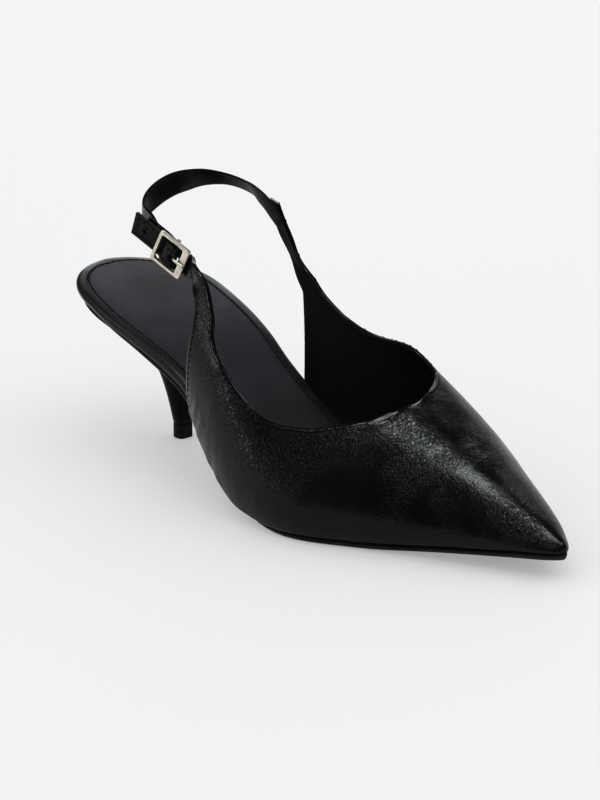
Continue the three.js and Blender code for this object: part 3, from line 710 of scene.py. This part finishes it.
def makeUpper():
    bm = copyOf("upper")
    stations, heights = soleTopLine()

    def isFoot(point):
        return point.z / mm < np.interp(alongOf(point), stations, heights) + upperLook["footBand"]

    # the wall's two skins lie between its sharp rims; the outer one is the larger
    bm.normal_update()
    bm.edges.index_update()
    rim = sharpEdges(bm, upperLook["rimAngle"])
    groups = skins(bm, rim)
    for face in groups[1]:
        face.material_index = 1
    outer = set(groups[0])
    outerRim = [e for e in rim if any(f in outer for f in e.link_faces)]
    lines = []
    for run in chains(outerRim):
        line = []
        for vertex in run:
            if isFoot(vertex.co):
                if len(line) > upperLook["shortest"]:
                    lines.append(line)
                line = []
            else:
                faces = [f for f in vertex.link_faces if f in outer]
                normal = sum((f.normal for f in faces), Vector()).normalized()
                line.append((vertex.co.copy(), normal))
        if len(line) > upperLook["shortest"]:
            lines.append(line)
    openEdges = [(e.verts[0].co.copy(), e.verts[1].co.copy()) for e in rim
                 if not (isFoot(e.verts[0].co) and isFoot(e.verts[1].co))]
    # corners of the rim stay where they are when the wall is smoothed
    corner = bm.verts.layers.float.new("crease_vert")
    for run in chains(rim):
        for before, vertex, after in zip(run, run[1:], run[2:]):
            bend = (vertex.co - before.co).angle(after.co - vertex.co, 0)
            if bend > math.radians(upperLook["cornerAngle"]):
                vertex[corner] = upperLook["cornerCrease"]
    joinQuads(bm, *upperLook["quads"])
    creaseSharp(bm, upperLook["rimAngle"], upperLook["rimCrease"])
    upper = finishPiece(bm, "upperLeather", [leather, lining], "upper", levels=upperLook["levels"])
    edgeGaps(upper.data, alongEdges(openEdges, upperLook["edgeStep"] * mm))
    relaxToe(upper.data)
    foldLeather(upper.data)
    print("upper:", len(upper.data.polygons), "faces")
    return upper, lines


def relaxToe(mesh):
    # the toe cap is evened out, so that its ridge is round to the tip
    bm = bmesh.new()
    bm.from_mesh(mesh)
    low = upperLook["toeBase"] * mm
    free = [v for v in bm.verts if alongOf(v.co) > upperLook["toeFrom"] and v.co.z > low
            and all(f.material_index == 0 for f in v.link_faces)]
    for _ in range(upperLook["toeRounds"]):
        bmesh.ops.smooth_vert(bm, verts=free, factor=0.5, use_axis_x=True, use_axis_y=True, use_axis_z=True)
    bm.to_mesh(mesh)
    bm.free()


def foldLeather(mesh):
    # soft troughs with a low swell beside each, on both skins of the wall
    inside = np.zeros(len(mesh.vertices), bool)
    for polygon in mesh.polygons:
        if polygon.material_index == 1:
            inside[list(polygon.vertices)] = True
    lines = [(place(*c["from"]), place(*c["to"]), c["width"] * mm, c["depth"] * mm) for c in upperLook["creases"]]
    end = upperLook["creaseFade"]
    for vertex in mesh.vertices:
        shift = 0.0
        for start, stop, width, depth in lines:
            span = stop - start
            share = min(max((vertex.co - start).dot(span) / span.length_squared, -end), 1 + end)
            gap = (vertex.co - start - span * min(max(share, 0), 1)).length / width
            if gap < upperLook["creaseReach"]:
                fade = 1 - smoothStep(1.0, 1 + end, share) - smoothStep(0.0, -end, share)
                swell = upperLook["swell"] * math.exp(-((gap - upperLook["swellAt"]) ** 2))
                shift += depth * max(fade, 0) * (swell - math.exp(-gap * gap))
        if shift:
            vertex.co += vertex.normal * (-shift if inside[vertex.index] else shift)


upper, rimLines = makeUpper()

# in mm: gap in from the edge and its play, and the sizes of one stitch; facing is the least turn to the edge's normal
upperStitch = {"gap": 2.0, "play": 0.8, "facing": 0.2, "pitch": 2.3, "length": 1.7, "width": 0.42, "height": 0.34}


def stitchRow(bm, line, surface, turn):
    # turn says to which side of the line the leather lies
    look = upperStitch
    tree = treeOf([point for point, _ in line])
    for point, direction in evenly([p for p, _ in line], look["pitch"] * mm):
        normal = line[tree.find(point)[1]][1]
        inward = direction.cross(normal).normalized() * turn
        spot, upward, _, _ = surface.find_nearest(point + inward * look["gap"] * mm)
        if upward.dot(normal) < look["facing"]:
            continue
        if abs((spot - point).length - look["gap"] * mm) > look["play"] * mm:
            continue
        addStitch(bm, spot, upward, direction, look)


def makeStitches():
    bm = bmesh.new()
    surface = surfaceOf(upper)
    for line in rimLines:
        # the side on which the leather lies is found at the line's middle
        middle = len(line) // 2
        point, normal = line[middle]
        direction = (line[middle + 1][0] - line[middle - 1][0]).normalized()
        sides = []
        for turn in (1, -1):
            probe = point + direction.cross(normal).normalized() * turn * upperStitch["gap"] * mm
            sides.append((surface.find_nearest(probe)[3], turn))
        stitchRow(bm, line, surface, min(sides)[1])
    piece = finishPiece(bm, "upperStitches", [thread])
    print("upper's stitches:", len(piece.data.polygons), "faces")


makeStitches()


slingLook = {
    "quads": (60, 80),
    "creaseAngle": 60,
    "crease": 0.35,
    "levels": 2,
    "middle": (78, 0, 0),   # within the loop
    "inward": -0.1,         # how far a lined face turns to that middle, at least
    "edgeSlope": 0.8,       # its edges are where the surface turns up or down
}


def makeSling():
    bm = copyOf("sling")
    bm.normal_update()
    joinQuads(bm, *slingLook["quads"])
    creaseSharp(bm, slingLook["creaseAngle"], slingLook["crease"])
    sling = finishPiece(bm, "slingStrap", [leather, strapLining], "sling", levels=slingLook["levels"])
    # the inner face of the loop is lined
    middle = place(*slingLook["middle"])
    for polygon in sling.data.polygons:
        outward = Vector((polygon.center.x - middle.x, polygon.center.y - middle.y, 0)).normalized()
        polygon.material_index = 1 if polygon.normal.dot(outward) < slingLook["inward"] else 0
    edgeGaps(sling.data, [v.co.copy() for v in sling.data.vertices if abs(v.normal.z) > slingLook["edgeSlope"]])
    print("sling:", len(sling.data.polygons), "faces")


makeSling()


insoleLook = {"quads": (30, 120), "rimSlope": 0.55, "edgeStep": 0.5}     # the step is in mm


def makeFootbed():
    bm = copyOf("footbed")
    joinQuads(bm, *insoleLook["quads"])
    footbed = finishPiece(bm, "footbedPad", [footbedCover], "footbed", levels=1)
    rim = []
    for edge in footbed.data.edges:
        a, b = (footbed.data.vertices[i] for i in edge.vertices)
        if max(abs(a.normal.z), abs(b.normal.z)) < insoleLook["rimSlope"]:
            rim.append((a.co.copy(), b.co.copy()))
    rim = alongEdges(rim, insoleLook["edgeStep"] * mm)
    edgeGaps(footbed.data, rim)
    return footbed, rim


footbed, footbedRim = makeFootbed()

# in mm: gap in from the insole's outline, reach along the shoe, a height above it all and the sizes of one stitch
insoleStitch = {"gap": 4.6, "from": 3, "to": 150, "above": 150, "leastRun": 0.5,
                "pitch": 2.6, "length": 1.9, "width": 0.5, "height": 0.36}


def makeInsoleStitches():
    # the outline is read from the insole's own solid, station by station
    rows = {}
    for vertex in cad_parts["footbed"].data.vertices:
        key = round(alongOf(vertex.co) / stationStep)
        if key * stationStep <= insoleStitch["to"]:
            rows.setdefault(key, []).append(sideOf(vertex.co))
    keys = sorted(rows)
    outline = [(k * stationStep, max(rows[k])) for k in reversed(keys)]
    outline += [(k * stationStep, min(rows[k])) for k in keys]
    surface = surfaceOf(footbed)
    tree = treeOf(footbedRim)
    path = []
    for before, here, after in zip(outline, outline[1:], outline[2:]):
        # a step inward, square to the outline
        run = Vector((after[0] - before[0], after[1] - before[1]))
        if run.length < insoleStitch["leastRun"]:
            continue
        spot = Vector(here) + Vector((-run.y, run.x)).normalized() * insoleStitch["gap"]
        if spot.x < insoleStitch["from"]:
            continue
        hit = surface.ray_cast(place(spot.x, spot.y, insoleStitch["above"]), Vector((0, 0, -1)))[0]
        if hit:
            # every stitch keeps the groove's gap from the rim
            nearest = tree.find(hit)[0]
            path.append(nearest + (hit - nearest).normalized() * insoleStitch["gap"] * mm)
    bm = bmesh.new()
    for point, direction in evenly(path, insoleStitch["pitch"] * mm):
        spot, normal, _, _ = surface.find_nearest(point)
        addStitch(bm, spot, normal, direction, insoleStitch)
    piece = finishPiece(bm, "insoleStitches", [thread])
    print("insole and its stitches:", len(footbed.data.polygons), "and", len(piece.data.polygons), "faces")


makeInsoleStitches()


levelShare = 0.2    # least level part of a normal that counts as a side wall


def outwardOf(vertex):
    # level direction out of a side wall, or nothing
    outward = Vector((vertex.normal.x, vertex.normal.y, 0))
    return outward.normalized() if outward.length > levelShare else None


# mm: the board's edge comes out to the leather from toeFrom to toeTo, and is tucked in behind tuckFrom
outsoleLook = {"quads": (30, 120), "toeFrom": 185, "toeTo": 238, "flush": 0.75, "tuckFrom": 75, "tuckTo": 50,
               "tuck": 1.2}


def makeOutsole():
    look = outsoleLook
    bm = copyOf("outsole")
    joinQuads(bm, *look["quads"])
    bm.normal_update()
    for vertex in bm.verts:
        outward = outwardOf(vertex)
        if outward:
            reach = smoothStep(look["toeFrom"], look["toeTo"], alongOf(vertex.co))
            tuck = 1 - smoothStep(look["tuckTo"], look["tuckFrom"], alongOf(vertex.co))
            vertex.co += outward * (look["flush"] * reach - look["tuck"] * tuck) * mm
    finishPiece(bm, "outsoleBoard", [soleFinish], "outsole", levels=1)


# mm below the heel's top, between which it is tucked in under the insole's rim, and above its lower end
heelLook = {"quads": (40, 120), "creaseAngle": 45, "crease": 0.6, "tuckBand": (16, 4), "tuck": 1.8, "endBand": 1.0}


def makeHeel():
    look = heelLook
    bm = copyOf("heel")
    joinQuads(bm, *look["quads"])
    creaseSharp(bm, look["creaseAngle"], look["crease"])
    bm.normal_update()
    top = max(v.co.z for v in bm.verts)
    low, high = (top - band * mm for band in look["tuckBand"])
    for vertex in bm.verts:
        outward = outwardOf(vertex)
        if outward:
            vertex.co -= outward * look["tuck"] * mm * smoothStep(low, high, vertex.co.z)
    # the lower end keeps its full size, as the top piece under it does
    endHeight = min(v.co.z for v in bm.verts) + look["endBand"] * mm
    layer = bm.edges.layers.float["crease_edge"]
    for edge in bm.edges:
        steep = edge.calc_face_angle(0) > math.radians(look["creaseAngle"])
        if max(v.co.z for v in edge.verts) < endHeight and steep:
            edge[layer] = 1.0
    finishPiece(bm, "heelBlock", [heelFinish], "heel", levels=2)


topPieceLook = {"flat": 3, "bevel": 0.35}       # degrees, mm


def makeTopPiece():
    bm = copyOf("top_piece")
    flat = math.radians(topPieceLook["flat"])
    bmesh.ops.dissolve_limit(bm, angle_limit=flat, verts=bm.verts, edges=bm.edges)
    finishPiece(bm, "topPieceRubber", [tipRubber], "top_piece",
                bevelWidth=topPieceLook["bevel"] * mm, smooth=False)


# flat is in degrees, wallArea in square mm, slim and bevel in mm; wallTurn is the most that a wall faces the front
buckleLook = {"flat": 2, "wallArea": 5, "wallTurn": 0.3, "slim": 0.25, "bevel": 0.24}


def makeBuckle():
    bm = copyOf("buckle")
    flat = math.radians(buckleLook["flat"])
    bmesh.ops.dissolve_limit(bm, angle_limit=flat, verts=bm.verts, edges=bm.edges)
    bm.normal_update()
    # the window's long walls move out, so the rails look as slim as the photo's
    face = max(bm.faces, key=lambda f: f.calc_area())
    middle = face.calc_center_median()
    walls = [f for f in bm.faces if f.calc_area() > buckleLook["wallArea"] * mm * mm
             and abs(f.normal.dot(face.normal)) < buckleLook["wallTurn"]
             and f.normal.dot(middle - f.calc_center_median()) > 0]
    for wall in walls:
        for vertex in wall.verts:
            vertex.co -= wall.normal * buckleLook["slim"] * mm
    finishPiece(bm, "buckleFrame", [gold], "buckle", bevelWidth=buckleLook["bevel"] * mm)


prongLook = {"quads": (60, 100)}


def makeProng():
    bm = copyOf("prong")
    joinQuads(bm, *prongLook["quads"])
    finishPiece(bm, "bucklePin", [gold], "prong", levels=1)


makeOutsole()
makeHeel()
makeTopPiece()
makeBuckle()
makeProng()
print("pieces ready")
